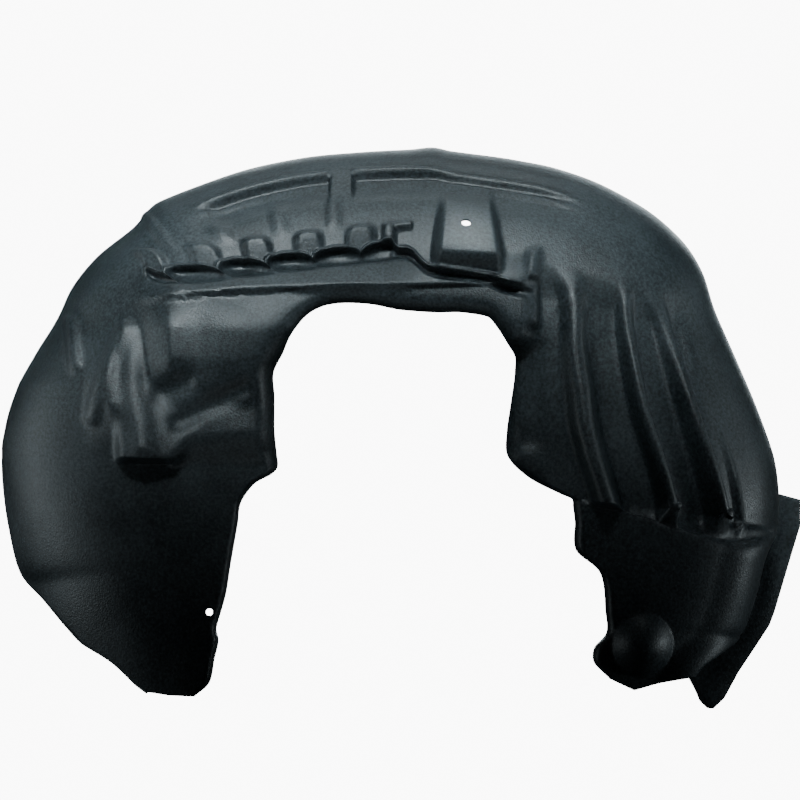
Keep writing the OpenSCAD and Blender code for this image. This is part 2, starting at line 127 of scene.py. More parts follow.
SPOKES = [
    ((-OPEN_X - 77.5, OPEN_TOP - 383), (-OPEN_X - 102.5, FOOT_Z + 4), (214.9, -98.5)),
    ((-OPEN_X - 62.5, OPEN_TOP - 369), (-OPEN_X - 104.5, FOOT_Z + 16), (212, -93)),
    ((-OPEN_X - 57.5, OPEN_TOP - 346), (-OPEN_X - 113.5, FOOT_Z + 41), (206.3, -83)),
    ((-OPEN_X - 53.5, -116), (-OPEN_X - 126.5, -108), (201.3, -64)),
    ((-OPEN_X - 55.5, -103), (-OPEN_X - 133.5, -89), (197.4, -53.5)),
    ((-OPEN_X - 46.5, -71), (-OPEN_X - 139.5, -63), (192.4, -38)),
    ((-OPEN_X - 41.5, -40), (-OPEN_X - 143.5, -34), (187.6, -18.5)),
    ((-OPEN_X - 34.5, 0), (-OPEN_X - 143.5, 2), (180.1, -10)),
    ((-OPEN_X - 31.5, 20), (-OPEN_X - 142.5, 29), (175, -4)),
    ((-OPEN_X - 18.5, 38), (-OPEN_X - 140.5, 47), (172, -0.5)),
    ((-OPEN_X - 2.5, 47), (-OPEN_X - 139.5, 58), (170, 1.5)),
    ((-OPEN_X + 4.5, 55), (-OPEN_X - 138.5, 66), (168.5, 2.5)),
    ((-OPEN_X + 3.5, 69), (-OPEN_X - 139.5, 85), (165, 2)),
    ((-OPEN_X + 1.5, 91), (-OPEN_X - 140.5, 112), (160.5, 0)),
    ((-OPEN_X + 1.5, 124), (-OPEN_X - 143.5, 151), (155, -1.5)),
    ((-OPEN_X + 0.5, OPEN_TOP - 65), (-OPEN_X - 146.5, 191), (148.5, -3)),
    ((-OPEN_X + 9.5, OPEN_TOP - 46), (-OPEN_X - 146.5, 226), (143.5, 2)),
    ((-OPEN_X + 14.5, OPEN_TOP - 34), boss_row(-0.5), (137.8, 2)),
    ((-OPEN_X + 20.5, OPEN_TOP - 24), boss_row(0), (131.2, -2.5)),
    ((-OPEN_X + 33.5, OPEN_TOP - 9), boss_row(1), (126, 2)),
    ((-OPEN_X + 50.5, OPEN_TOP), boss_row(2), (113.5, -11.5)),
    ((-OPEN_X + 69.5, OPEN_TOP + 3), boss_row(3), (103.5, -18.5)),
    ((-OPEN_X + 95.5, OPEN_TOP + 2), boss_row(4), (94.5, -22)),
    ((-OPEN_X + 122.5, OPEN_TOP - 3), boss_row(5), (87, -20)),
    ((-OPEN_X + 144.5, OPEN_TOP - 5), (40, 277), (83.5, -16)),
    ((-OPEN_X + 161.5, OPEN_TOP - 6), (55, 274), (80.5, -17)),
    ((OPEN_X - 45.5, OPEN_TOP - 6), (90, 272), (74, -13)),
    ((OPEN_X - 24.5, OPEN_TOP - 9), (110, 270), (71, -10)),
    ((OPEN_X - 16.5, OPEN_TOP - 12), (138, 265), (65, -2.5)),
    ((OPEN_X - 7.5, OPEN_TOP - 23), (172, 260), (58, 5)),
    ((OPEN_X + 1.5, OPEN_TOP - 37), (212, 251), (50, 11.5)),
    ((OPEN_X + 8.5, OPEN_TOP - 49), (231, 236), (43.5, 12.5)),
    ((OPEN_X + 8.5, OPEN_TOP - 62), (233, 212), (38.5, 7)),
    ((OPEN_X + 7.5, OPEN_TOP - 74), (235, 189), (33, -5)),
    ((OPEN_X + 3.5, 111), (242, 145), (25.5, -10)),
    ((OPEN_X + 0.5, 89), (250, 105), (17.5, -8.5)),
    ((OPEN_X + 1.5, 65), (262, 67), (9.5, -3)),
    ((OPEN_X + 22.5, 44), (271, 35), (3.4, -2.5)),
    ((OPEN_X + 53.5, 28), (276, 14), (-0.8, -5)),
    ((OPEN_X + 64.5, 23), (277, 5), (-2.2, -6)),
    ((OPEN_X + 65.5, 16), (278, -4), (-3.8, -11)),
    ((OPEN_X + 67.5, 0), (276, -20), (-6.5, -16)),
    ((OPEN_X + 68.5, -27), (271, -45), (-10.5, -18)),
    ((OPEN_X + 92.5, -50), (262, -72), (-13.8, -20)),
    ((OPEN_X + 97.5, -87), (252, -96), (-17.1, -22)),
    ((OPEN_X + 98.5, -108), (247, -112), (-19.5, -29.5)),
    ((OPEN_X + 86.5, -123), (246, -124), (-21.9, -40)),
    ((OPEN_X + 86.5, -138), (247, -144), (-24.5, -50)),
    ((OPEN_X + 102.5, -154), (242, -166), (-26.8, -53.5)),
]
FIRST_BOSS, LAST = 18, len(SPOKES) - 1


def shoulder(bearing, extra):
    """Point on the shoulder from its bearing and its distance beyond the arch radius."""
    turn = math.radians(bearing)
    return ((ARCH_R + extra) * math.cos(turn), (ARCH_R + extra) * math.sin(turn))


EDGE_POINTS = [Vector(row[0]) for row in SPOKES]
MIDDLE_POINTS = [Vector(row[1]) for row in SPOKES]
SHOULDER_POINTS = [Vector(shoulder(*row[2])) for row in SPOKES]


def slope(a, b, c):
    """Slope of a curve at b, held back where its neighbours lie at uneven distances."""
    return (c - a) * min((b - a).length, (c - b).length) / max((c - a).length, 0.001)


def soft_curve(points, u):
    """A smooth line through points that doesn't overshoot where they lie unevenly."""
    k = min(int(u), len(points) - 2)
    t, a, b = u - k, points[k], points[k + 1]
    start = b - a if k == 0 else slope(points[k - 1], a, b)
    end = b - a if k + 2 >= len(points) else slope(a, b, points[k + 2])
    return (a * (2 * t**3 - 3 * t**2 + 1) + start * (t**3 - 2 * t**2 + t)
            + b * (3 * t**2 - 2 * t**3) + end * (t**3 - t**2))


print("spokes:", len(SPOKES))

# %% [markdown]
# Every rib, boss and groove is made from four small blends. Ease rises from 0 to 1 without
# a corner, pad is a flat top with soft sides, ridge is a round bump, and a lookup reads a
# value between the rows of a short table.

# %% Blends
def clamp(x, low, high):
    return max(low, min(high, x))


def ease(a, b, x):
    t = clamp((x - a) / (b - a), 0.0, 1.0)
    return t * t * (3 - 2 * t)


def pad(d, half, soft):
    """1 on a flat top 2 half wide, less its soft sides, and 0 beyond it."""
    return 1 - ease(half - soft, half, abs(d))


def ridge(d, half):
    """A round bump 2 half wide."""
    t = clamp(abs(d) / half, 0.0, 1.0)
    return (1 - t * t) ** 2


def lookup(x, rows, column=1):
    if x <= rows[0][0]:
        return rows[0][column]
    for low, high in zip(rows, rows[1:]):
        if x <= high[0]:
            return low[column] + (high[column] - low[column]) * (x - low[0]) / (high[0] - low[0])
    return rows[-1][column]


def beside(x, z, a, b):
    """Distance of a point from the line between a and b."""
    p, a, b = Vector((x, z)), Vector(a), Vector(b)
    t = clamp((p - a).dot(b - a) / (b - a).length_squared, 0.0, 1.0)
    return (p - a - t * (b - a)).length


print("half way up a blend:", ease(0, 1, 0.5))

# %% [markdown]
# Below the crown runs a row of five bosses on a thin scalloped ledge. They stiffen the wall
# and rest against the car's inner wing. Under the ledge is an arched niche between each two
# bosses, where the mould has a separate core, and then a rolled band along the opening.
# In the functions, u is the number of the spoke, w the place along the row in pitches from
# the first boss, and t the height above the row's middle line.

# %% Ledge, niches and bosses
LEDGE_FOOT, LEDGE_DROPS = -18.0, ((22.6, 24.0, 9.0), (24.0, 28.0, 6.0))
LEDGE_H, NICHE_FOOT = 5.0, 10.0
BOSS_SOFT, HOOK_SOFT = 8.0, 4.0
HOOK_BAR, HOOK_TOP, HOOK_OUT = (7.0, 12.0), (14.0, 5.0), 0.6 * BOSS_OUT
ROW_RIB_OUT, ROW_RIB_W, ROW_RIB_H = 2.5, 22.0, 48.0
APRON_TOP = [(-250, 243), (-150, 253), (-60, 258), (150, 262)]
APRON_H, APRON_TUCK = 25.0, 0.4


def boss_at(u):
    """Place along the row; the spokes before the first boss lie half a pitch apart."""
    return (u - FIRST_BOSS) * 0.5 if u < FIRST_BOSS else u - FIRST_BOSS


def in_row(u):
    """1 along the row, and 0 beyond its ends."""
    return ease(-0.5, -0.2, boss_at(u)) * (1 - ease(28, 29.5, u))


def row_end(w):
    return ease(BOSSES - 0.5, BOSSES - 0.3, w)


def arch(w):
    """The scallops of the ledge: 0 below a boss, and 1 half way to the next."""
    return abs(math.sin(math.pi * w)) ** 0.6 * ease(-0.5, -0.2, w) * (1 - row_end(w))


def ledge_foot(u):
    return LEDGE_FOOT - sum(drop * ease(start, end, u) for start, end, drop in LEDGE_DROPS)


def ledge(u, t):
    """A thin edge that stands out, with the niches sunk below it."""
    w, foot = boss_at(u), ledge_foot(u)
    line = foot + NICHE_H * arch(w)
    open_share = max(0.1 + 0.9 * arch(w), row_end(w))
    edge = LEDGE_OUT * ease(line + LEDGE_H, line + 1.5, t) * (1 - ease(line, line - 3, t))
    niche = NICHE_IN * open_share * ease(line + 1, line - 1.5, t)
    return in_row(u) * (edge - niche * ease(foot - NICHE_FOOT, foot - 4, t))


def bosses(u, t):
    """Rounded squares with a flat front that slopes back to the foot."""
    w = boss_at(u)
    k = round(w)
    if k < 0 or k >= BOSSES:
        return 0.0
    across, up, half = (w - k) * PITCH, max(t + BOSS_W / 2 - BOSS_H / 2, 0.0), BOSS_W / 2
    from_middle = (abs(across)**3 + up**3) ** (1 / 3)
    flat = 1 - ease(half - BOSS_SOFT, half - 1, from_middle)
    return BOSS_OUT * flat * clamp((t + 20) / BOSS_H, 0, 1)


def hook(u, t):
    """The bent boss at the end of the row: an upright bar and a shorter one to the right."""
    d = (boss_at(u) - BOSSES + 0.5) * PITCH
    bar = pad(d, HOOK_BAR[0], HOOK_SOFT) * pad(t + 1, HOOK_BAR[1], HOOK_SOFT)
    top = pad(d - 16, HOOK_TOP[0], HOOK_SOFT) * pad(t - 5, HOOK_TOP[1], HOOK_SOFT)
    return HOOK_OUT * max(bar, top)


def row_ribs(u, t):
    w = boss_at(u)
    k = round(w - 0.5)
    if k < 0 or k >= BOSSES - 1:
        return 0.0
    across = ridge((w - 0.5 - k) * PITCH, ROW_RIB_W / 2)
    return ROW_RIB_OUT * across * pad(t - 28, ROW_RIB_H / 2, 14)


def apron(x, z):
    """The rolled band between the ledge and the opening, tucked in again at its foot."""
    top = lookup(x, APRON_TOP)
    foot = top - APRON_H
    slope_share = clamp((top - z) / APRON_H, 0, 1) - APRON_TUCK * ease(foot - 2, foot - 6, z)
    ends = ease(-258, -208, x) * (1 - ease(125, 150, x))
    return APRON_OUT * slope_share * ease(120, 210, z) * ends


print("a boss stands out", round(bosses(FIRST_BOSS, 4), 1), "mm")

# %% [markdown]
# Above the row, two long panels are sunk into the crown under a double bead, with a bridge
# between them. To the right stands the box that takes the clip: a sloping face over a dark
# underside, with a small block beside it.

# %% Crown panels and clip box
BRIDGE_X, BEAD_W, LOWER_BEAD = -48.0, 10.0, 8.0
BEAD_AT = [(22, 0), (23, 1), (24, 4), (26, 6), (28, 5), (30, 3)]
BOX_LEAN, BOX_SOFT = 8.0, 11.0
BLOCK_X, BLOCK_Z, BLOCK_W, BLOCK_H, BLOCK_OUT = 140.0, 252.0, 18.0, 34.0, 9.0


def bead_at(u):
    return CROWN_W + lookup(u, BEAD_AT)


def panels(u, c, x):
    """Two panels sunk into the crown, under a double bead and with a bridge between them."""
    from_bridge = abs(x - BRIDGE_X) - BRIDGE_W / 2
    wide = ease(0, 3, from_bridge) * ease(-200, -170, x) * (1 - ease(140, 215, x))
    d = c - bead_at(u)
    sunk = ease(0, 4.5, d) * (1 - ease(12, PANEL_H, d)) * (1 - 0.5 * ease(20, 80, x))
    beads = ridge(d, BEAD_W / 2) + ridge(d - LOWER_BEAD, BEAD_W / 2 - 1)
    return wide * (BEAD_OUT * beads - PANEL_DEPTH * sunk)


def clip_box(s, x):
    """A wedge, deepest at its foot, whose sides lean in towards the top."""
    up = s - BOX_FOOT
    slope_share = clamp(1 - up / BOX_H, 0, 1) if up > 0 else ease(-20, 0, up)
    half = BOX_W / 2 - BOX_LEAN * clamp(up / BOX_H, 0, 1)
    return BOX_OUT * slope_share * pad(x - BOX_X, half, BOX_SOFT)


def block(x, z):
    return BLOCK_OUT * pad(x - BLOCK_X, BLOCK_W / 2, 5) * pad(z - BLOCK_Z, BLOCK_H / 2, 6)


print("the box stands out", BOX_OUT, "mm")

# %% [markdown]
# The right side has long ribs with grooves between them. A grooved wall is stiff and light,
# and it sheds water. The ribs keep a set distance from the middle line, so they bend with
# the arch, and they end as rounded teeth over a sunk lower wall with a flush rim. Here s is
# the distance beyond the middle line, and c the distance that is left to the shoulder. The
# gaps beside each rib are multiplied, because that joins ribs without a crease.

# %% Flutes
RIB_AT = [
    [(28, 10), (29, -2), (30, -41), (31, -60), (33, -57), (34, -56), (35, -59), (36, -63),
     (48, -66)],
    [(28, 0), (48, 0)],
    [(31, 24), (32, 31), (33, 38), (34, 44), (35, 48), (38, 50), (48, 50)],
    [(31, 60), (34, 76), (36, 75), (38, 72), (48, 72)],
]
RIB_HALF = [RIB_W * 0.65, SMALL_RIB_W * 0.54, SMALL_RIB_W * 0.52, SMALL_RIB_W * 0.2]
RIB_SOFT, SIDE_W = 0.85, 44.0
TEETH_LINE, FLUTE_LINE = (183.0, 22.0, 0.176), (150.0, 266.0, 0.26)


def falling(x, line):
    """Height of a straight line that falls to the right: its start, height and fall."""
    start, height, fall = line
    return height - fall * (x - start)


def rib(k, u, s):
    return pad(s - lookup(u, RIB_AT[k]), RIB_HALF[k], RIB_HALF[k] * RIB_SOFT)


def flutes(u, s, c, x, z):
    step_z, below = falling(x, TEETH_LINE), falling(x, FLUTE_LINE) - z
    down, teeth = ease(0, 230, below), ease(step_z - 3, step_z + 3, z)
    start, side = (1 - ease(142, 150, x)) * ease(186, 200, z), 1 - ease(0, SIDE_W, c)
    second, last = ease(29.8, 31.2, u) * rib(1, u, s), 0.3 * ease(35, 37, u) * rib(3, u, s)
    gap = 1.0
    for share in (max(rib(0, u, s), start), second, rib(2, u, s), last, side):
        gap *= 1 - share
    depth = GROOVE_DEPTH * (0.45 + 0.55 * down) * (1 - 0.5 * ease(50, 62, s))
    wall = GROOVE_DEPTH * down * (0.8 - 0.5 * gap) * (1 - side) - depth * gap * ease(0, 45, below)
    return teeth * wall * ease(120, 150, x) - 0.6 * GROOVE_DEPTH * (1 - teeth) * (1 - side)


print("ribs:", len(RIB_AT))

# %% [markdown]
# The left side is a fan of folded faces that come out downwards and stop at a sharp lower
# edge over the plain leg. A small table gives how far each place stands out, and a few
# creases are added along lines. The right foot carries one round dome.

# %% Fan and dome
FAN_X = [-300, -270, -258, -240, -212, -185, -150, -116]
FAN_ROWS = [
    (66, [0, 0, 0.9, 1.05, 0.75, 0.6, 0.7, 0.65]),
    (92, [0.05, 0.3, 0.6, 0.6, 0.4, 0.4, 0.6, 0.6]),
    (114, [0.12, 0.62, 0.5, 0.3, 0.15, 0.35, 0.4, 0.5]),
    (136, [0.15, 0.5, 0.34, 0.1, 0.4, 0.55, 0.66, 0.55]),
    (160, [0.05, 0.3, 0.2, 0.1, 0.6, 0.5, 0.66, 0.55]),
    (190, [0, 0.05, 0.08, 0.12, 0.5, 0.3, 0.5, 0.4]),
    (222, [0, 0, 0, 0, 0, 0, 0, 0]),
]
FAN_CREASES = [
    ((-260, 192), (-291, 104), 13, 4), ((-256, 186), (-238, 72), 16, 4),
    ((-314, 198), (-308, 154), 11, 6), ((-222, 128), (-200, 137), 15, -6),
    ((-206, 98), (-143, 133), 13, -5),
]
FAN_RIGHT, PLAIN_LEFT, DOME_X, DOME_Z = -60.0, -215.0, 250.0, -121.0


def fan(x, z):
    """Share of the fold height at a place, read between the rows and columns of the table."""
    return lookup(z, [(height, lookup(x, list(zip(FAN_X, outs)))) for height, outs in FAN_ROWS])


def folds(x, z):
    """The fan and its creases, with a sharp lower edge on the left that softens to the right."""
    if x > FAN_RIGHT:
        return 0.0
    soft_h = clamp(1.5 * (x + 221), 9, 38)
    end = ease(57, 64, z) if x < PLAIN_LEFT else ease(53, 53 + soft_h, z)
    creases = sum(out * ridge(beside(x, z, a, b), half) for a, b, half, out in FAN_CREASES)
    return end * (FOLD_OUT * fan(x, z) + creases)


def dome(x, z):
    t = clamp(math.hypot(x - DOME_X, z - DOME_Z) / (DOME_D / 2), 0, 1)
    return DOME_OUT * (1 - t * t) ** 0.9


def relief(u, s, t, c, x, z):
    """How far the wall stands out of its plain form, square to itself."""
    out = ledge(u, t) + bosses(u, t) + hook(u, t) + row_ribs(u, t) + apron(x, z)
    out += panels(u, c, x) if 17 < u < 30 else 0.0
    out += clip_box(s, x) if 22 < u < 29 else 0.0
    out += block(x, z) if 26 < u < 30 else 0.0
    return out + (flutes(u, s, c, x, z) + dome(x, z) if x > 100 else folds(x, z))


print("the dome stands out", round(dome(DOME_X, DOME_Z), 1), "mm")

# %% [markdown]
# A fine net of points needs its lines where the form changes, or an edge 3 mm wide falls
# between them. Along the row the lines follow the ledge, bosses and panels. On the right
# they follow the ribs, and elsewhere they are even. The three layouts melt into each other.
# A spoke has two parts, a mm long up to the middle line and b mm long beyond it.

# %% Lines across a spoke
EDGE_LINES, SHOULDER_LINES = [0, 5, 11, 18], [20, 11, 0]
EVEN_LINES, LINE_GAP = 15, 1.5


def spread(start, end, n):
    """Places of n lines, even between two others."""
    return [start + (end - start) * k / (n + 1) for k in range(1, n + 1)]


def row_lines(u, a, b, g, h):
    """Lines along the row; g and h stretch its heights to the slant of the spoke's two parts."""
    k, foot, bead = h * min(1, b / 66), ledge_foot(u), bead_at(u)
    line = foot + NICHE_H * arch(boss_at(u))
    edge = [d * max(1, a / 66) for d in EDGE_LINES]
    start = max(edge[3] + 4, a - 49 * g)
    boss_foot = -1 + (BOX_FOOT + 1) * ease(22.6, 24, u)
    below = [a + g * t for t in (foot - 10, foot - 4, line - 1.5, line + 2, line + 6, boss_foot)]
    above = [a + k * t for t in (9, 15, 27)]
    crown = [a + b - d * k / h for d in (bead + 8, bead + 4.5, bead, bead - 5, 5, 0)]
    inner = edge + [start, (start + below[0]) / 2] + below
    return inner + above + spread(above[2], crown[0], 1) + crown


def in_order(marks):
    """Moves marks back where they would pass the next one, so that the net never folds over."""
    for k in range(len(marks) - 2, -1, -1):
        marks[k] = min(marks[k], marks[k + 1] - LINE_GAP)
    return marks


def to_shoulder(a, b):
    return [a + b - d for d in SHOULDER_LINES]


def rib_lines(u, a, b):
    at = [a + lookup(u, table) for table in RIB_AT]
    sides = [at[k] + d * RIB_HALF[k] for k in range(3) for d in (-1, -0.45, 0.45, 1)]
    last_rib = [at[3] - RIB_HALF[3], at[3] + RIB_HALF[3]]
    inner = EDGE_LINES + spread(EDGE_LINES[-1], sides[0], 1)
    return in_order(inner + sides + last_rib + to_shoulder(a, b))


def even_lines(a, b):
    outer = to_shoulder(a, b)
    return EDGE_LINES + spread(EDGE_LINES[-1], outer[0], EVEN_LINES) + outer


def row_share(u):
    return ease(14.5, 17, u) * (1 - ease(28, 29.4, u))


def melt(first, second, share):
    """Goes from one list of places to another as share rises from 0 to 1."""
    return [p * (1 - share) + q * share for p, q in zip(first, second)]


def lines(u, i, m, o):
    """Lines for a spoke from i on the opening, through m, to o on the shoulder."""
    a, b = (m - i).length, (o - m).length
    row, ribs = row_share(u), ease(29.8, 31, u) * (1 - ease(38.6, 39.6, u))
    if row > 0:
        g, h = min(2.4, a / (m.y - i.y)), min(1.3, b / (o.y - m.y))
        return melt(even_lines(a, b), row_lines(u, a, b, g, h), row)
    return melt(even_lines(a, b), rib_lines(u, a, b), ribs) if ribs > 0 else even_lines(a, b)


def on_spoke(u, i, m, o, d):
    """A place along a spoke, which stands upright where it meets the row of bosses."""
    a = (m - i).length
    if d > a:
        return m + (o - m) * (d - a) / (o - m).length
    t = d / a
    bend = t * t * (1 - t) * ease(14, 17.6, u) * (1 - ease(23, 27, u))
    return i + (m - i) * t + Vector(((m.x - i.x) * bend, 0.0))


print("lines across a spoke:", len(even_lines(150, 60)))

# %% [markdown]
# The plain wall is flat next to the opening and rounds back to the shoulder. From there the
# barrel runs outwards over the tyre with a little draft, so that it leaves the mould, and
# ends in a narrow lip. Behind the right foot the lip widens into a strip with a tongue.

# %% Plain wall, barrel and lip
STRIP = [
    (36.9, 394, 24), (37, 411, 21), (38.5, 411, -5), (40, 404, -28), (43, 385, -92),
    (44, 380, -105), (45, 365, -128), (46, 349, -152), (46.6, 335, -178), (47.1, 321, -191),
    (47.6, 310, -181), (48, 306, -170),
]
EDGE_BACK = [
    (0, 5, 1), (10, 7, 1), (12, 20, 1.8), (16, 20, 1.8), (18, 16, 1), (28, 16, 1), (30, 20, 1.5),
    (31.5, 44, 3), (35.5, 44, 3), (37.5, 12, 1), (48, 5, 1),
]
END_DEPTH = [
    (0, FOOT_RETURN), (2, 20 + FOOT_RETURN), (4, 60 + FOOT_RETURN), (6.5, ARCH_DEPTH),
    (48, ARCH_DEPTH),
]
BARREL_STEPS, LIP_STEPS, FINER, EDGE_FINER = 8, 2, 4, 2


def plain_y(u, p, o):
    """Depth of the plain wall: flat inside FLAT_R, then rounding back to the shoulder."""
    far = max(o.length, ARCH_R - 25)
    f, n = clamp((p.length - FLAT_R) / (far - FLAT_R), 0, 1), 2 + 2 * ease(38, 41, u)
    return SHOULDER_DEPTH * (1 - max(0.0, 1 - f**n) ** (1 / n))


def lip_point(u, o):
    if u < STRIP[0][0]:
        return o * (1 + (LIP_W - DRAFT) / o.length)
    return Vector((lookup(u, STRIP, 1), lookup(u, STRIP, 2)))


def finer(marks):
    """Three more places between each two, and one more in the turned edge."""
    out = []
    for k, (a, b) in enumerate(zip(marks, marks[1:])):
        n = EDGE_FINER if k < len(EDGE_LINES) - 1 else FINER
        out += [a + (b - a) * j / n for j in range(n)]
    return out + [marks[-1]]


def column(u):
    """All points on one spoke: place, relief, and how far the edge is turned back."""
    i, m, o = (soft_curve(row, u) for row in (EDGE_POINTS, MIDDLE_POINTS, SHOULDER_POINTS))
    a, b = (m - i).length, (o - m).length
    turn_w, turn = lookup(u, EDGE_BACK), EDGE_TURN * lookup(u, EDGE_BACK, 2)
    points = []
    for d in finer(lines(u, i, m, o)):
        p = on_spoke(u, i, m, o, d)
        out = relief(u, d - a, p.y - m.y, a + b - d, p.x, p.y)
        back = turn * (1 - clamp(d / turn_w, 0, 1)) ** 2
        points.append((Vector((p.x, plain_y(u, p, o), p.y)), out, back))
    start_y, end_y = plain_y(u, o, o), lookup(u, END_DEPTH)
    drawn, lip = o * (1 - DRAFT / o.length), lip_point(u, o)
    for k in range(1, BARREL_STEPS + 1):
        f = k / BARREL_STEPS
        q = o.lerp(drawn, f)
        points.append((Vector((q.x, start_y + (end_y - start_y) * f, q.y)), 0.0, 0.0))
    for k in range(1, LIP_STEPS + 1):
        q = drawn.lerp(lip, k / LIP_STEPS)
        points.append((Vector((q.x, end_y, q.y)), 0.0, 0.0))
    return points


print("points on a spoke:", len(column(20.0)))

# %% [markdown]
# Now the net itself. A flat grid is made with one operator and each of its points is moved
# to its place on the shell: first on to the plain wall, then out by the relief, square to
# the wall. More columns go where the form is busy than where it is plain.

# %% Shell
COLUMNS = [(0, 6), (10, 9), (17, 12), (18, 22), (23, 12), (30, 8), (48, 8)]


def column_places():
    """Spoke numbers of all columns; each row above is a first spoke and columns per spoke."""
    places = []
    for (start, n), (end, _) in zip(COLUMNS, COLUMNS[1:]):
        places += [start + k / n for k in range((end - start) * n)]
    return places + [float(LAST)]


def square_to(net, i, j):
    """Direction square to a net of points, towards the car's side."""
    along = net[min(i + 1, len(net) - 1)][j] - net[max(i - 1, 0)][j]
    across = net[i][min(j + 1, len(net[0]) - 1)] - net[i][max(j - 1, 0)]
    n = along.cross(across)
    return n / max(n.length, 1e-6)


places = column_places()
columns = [column(u) for u in places]
plain = [[point[0] for point in one] for one in columns]
front = [[plain[i][j] + square_to(plain, i, j) * out + Vector((0, turn, 0))
          for j, (_, out, turn) in enumerate(one)] for i, one in enumerate(columns)]
nu, nv = len(front), len(front[0])
print("net of points:", nu, "x", nv)


def shell_mesh():
    """A flat grid whose points are moved on to the shell, and kept inside the fixed box."""
    bm = bmesh.new()
    bmesh.ops.create_grid(bm, x_segments=nu - 1, y_segments=nv - 1, size=1.0)
    low, high = (Vector(corner) for corner in model_box)
    for v in bm.verts:
        i, j = round((v.co.x + 1) / 2 * (nu - 1)), round((v.co.y + 1) / 2 * (nv - 1))
        place = on_drawing(*front[i][j])
        v.co = Vector(clamp(p, a, b) for p, a, b in zip(place, low, high))
    return bm


bm = shell_mesh()
bm.normal_update()
print("faces on the front:", len(bm.faces))

# %% [markdown]
# The two holes are round, and the net isn't. Round each hole the net is cut finer, the
# faces inside go, and the points left on the rim are pulled on to the true circle. A hole is
# placed by its spoke and by its line across the spoke, so it moves with the shell.

# %% Holes
HOLES = [("clip_hole", 25.5, 13, CLIP_D), ("foot_screw_hole", 4.5, 2, SCREW_D)]
NEAR_HOLE, IN_HOLE, HOLE_CUTS = 2.2, 1.3, 3


def finer_line(line):
    """Number of a line after finer() has put more between them."""
    edge = len(EDGE_LINES) - 1
    return EDGE_FINER * min(line, edge) + FINER * max(line - edge, 0)


def cut_hole(bm, centre, square, radius):
    """Cuts a round hole; square is the direction that it runs in."""
    def off_axis(p):
        away = p - centre
        return away - square * away.dot(square)

    def reach(f):
        return (f.calc_center_median() - centre).length / radius

    near = [f for f in bm.faces if reach(f) < NEAR_HOLE]
    edges = list({e for f in near for e in f.edges})
    bmesh.ops.subdivide_edges(bm, edges=edges, cuts=HOLE_CUTS, use_grid_fill=True)
    inside = [f for f in bm.faces
              if reach(f) < IN_HOLE and off_axis(f.calc_center_median()).length < radius]
    rim = {v for f in inside for v in f.verts}
    bmesh.ops.delete(bm, geom=inside, context="FACES")
    for v in rim:
        if v.is_valid and v.is_boundary:
            v.co += off_axis(v.co).normalized() * radius - off_axis(v.co)
    return len(inside)


for name, u, line, diameter in HOLES:
    i, j = min(range(nu), key=lambda k: abs(places[k] - u)), finer_line(line)
    centre = on_drawing(*front[i][j])
    print(name, [round(1000 * c, 1) for c in centre], "faces cut:",
          cut_hole(bm, centre, square_to(front, i, j), diameter / 2000))

# %% [markdown]
# The wall is one even thickness, as in any moulded part. A Solidify modifier grows it away
# from the car's side, and a small Bevel rounds the cut edges, because real plastic never
# has a knife edge and the light line along the opening comes from that rounding.

# %% Even wall
EDGE_ROUND, SHARP_FROM = 0.0006, 62.0
shell_data = bpy.data.meshes.new("liner_shell")
bm.to_mesh(shell_data)
bm.free()
shell = bpy.data.objects.new("liner_shell", shell_data)
bpy.context.collection.objects.link(shell)
for face in shell_data.polygons:
    face.use_smooth = True


def even_wall(piece, thickness):
    """Gives the shell its wall and rounded edges, and applies both to its mesh."""
    wall = piece.modifiers.new("wall", "SOLIDIFY")
    wall.thickness, wall.offset = thickness, -1.0
    soft = piece.modifiers.new("soft_edges", "BEVEL")
    soft.width, soft.segments = EDGE_ROUND, 1
    soft.limit_method, soft.angle_limit = "ANGLE", math.radians(SHARP_FROM)
    drawn = piece.evaluated_get(bpy.context.evaluated_depsgraph_get())
    mesh = bpy.data.meshes.new_from_object(drawn)
    piece.modifiers.clear()
    piece.data = mesh
    return mesh


solid = even_wall(shell, WALL / 1000)
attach(shell, "root")
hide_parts("arch_liner")
print("shell triangles:", sum(len(p.vertices) - 2 for p in solid.polygons))

# %% [markdown]
# Moulded black plastic isn't one flat black. It has a fine leather grain from the mould,
# faint cloudy changes of gloss where the melt flowed, and a thin grey bloom of dust and
# scuffs. Each is a procedural noise, read on Object coordinates so that it stays on the part.

# %% Plastic
DUST_SPECKLE = 1.6
PLASTIC_DARK = (0.0055, 0.0085, 0.0100, 1.0)
PLASTIC_BLOOM = (0.036, 0.047, 0.053, 1.0)


def add_node(tree, kind, **values):
    """Adds a shader node and sets its inputs by name."""
    node = tree.nodes.new(kind)
    for name, value in values.items():
        node.inputs[name.replace("_", " ")].default_value = value
    return node


